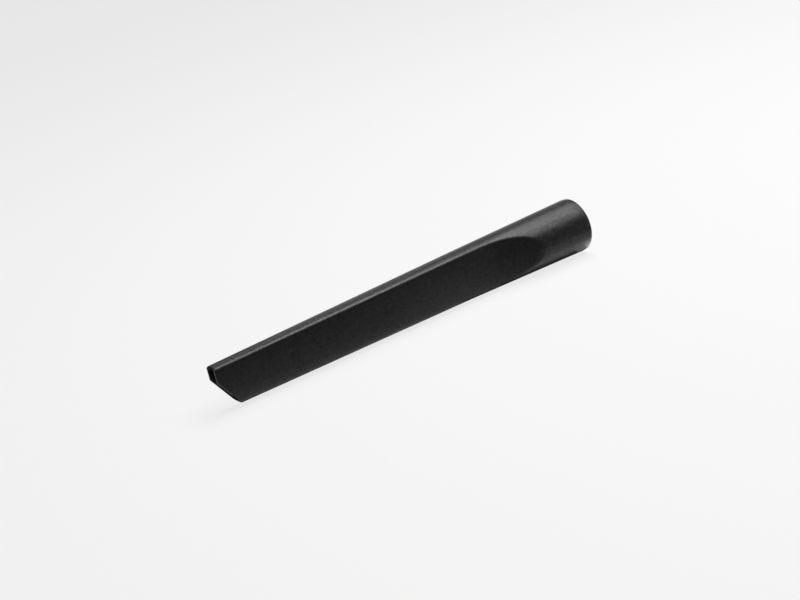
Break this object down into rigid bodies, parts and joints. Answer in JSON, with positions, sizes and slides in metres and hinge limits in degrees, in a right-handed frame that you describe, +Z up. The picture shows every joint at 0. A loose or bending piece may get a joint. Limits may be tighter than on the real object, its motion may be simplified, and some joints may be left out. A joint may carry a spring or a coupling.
{
  "type": "vacuum cleaner crevice nozzle",
  "caption": "Slender crevice nozzle for a vacuum cleaner: a tapering round socket that flattens into a narrow slot with a swept mouth.",
  "frame": {"origin": "centre of the socket's open rim", "axes": "+X along the socket's axis, out of the socket; +Z up, from the mouth's swept edge to its square one; the flats face -Y and +Y"},
  "size_m": [0.276, 0.036, 0.036],
  "materials": {
    "black_plastic": "fine spark-eroded texture on the barrel, smoother on the flats"
  },
  "bodies": {
    "root": {"nozzle_body": "black_plastic"}
  },
  "joints": []
}
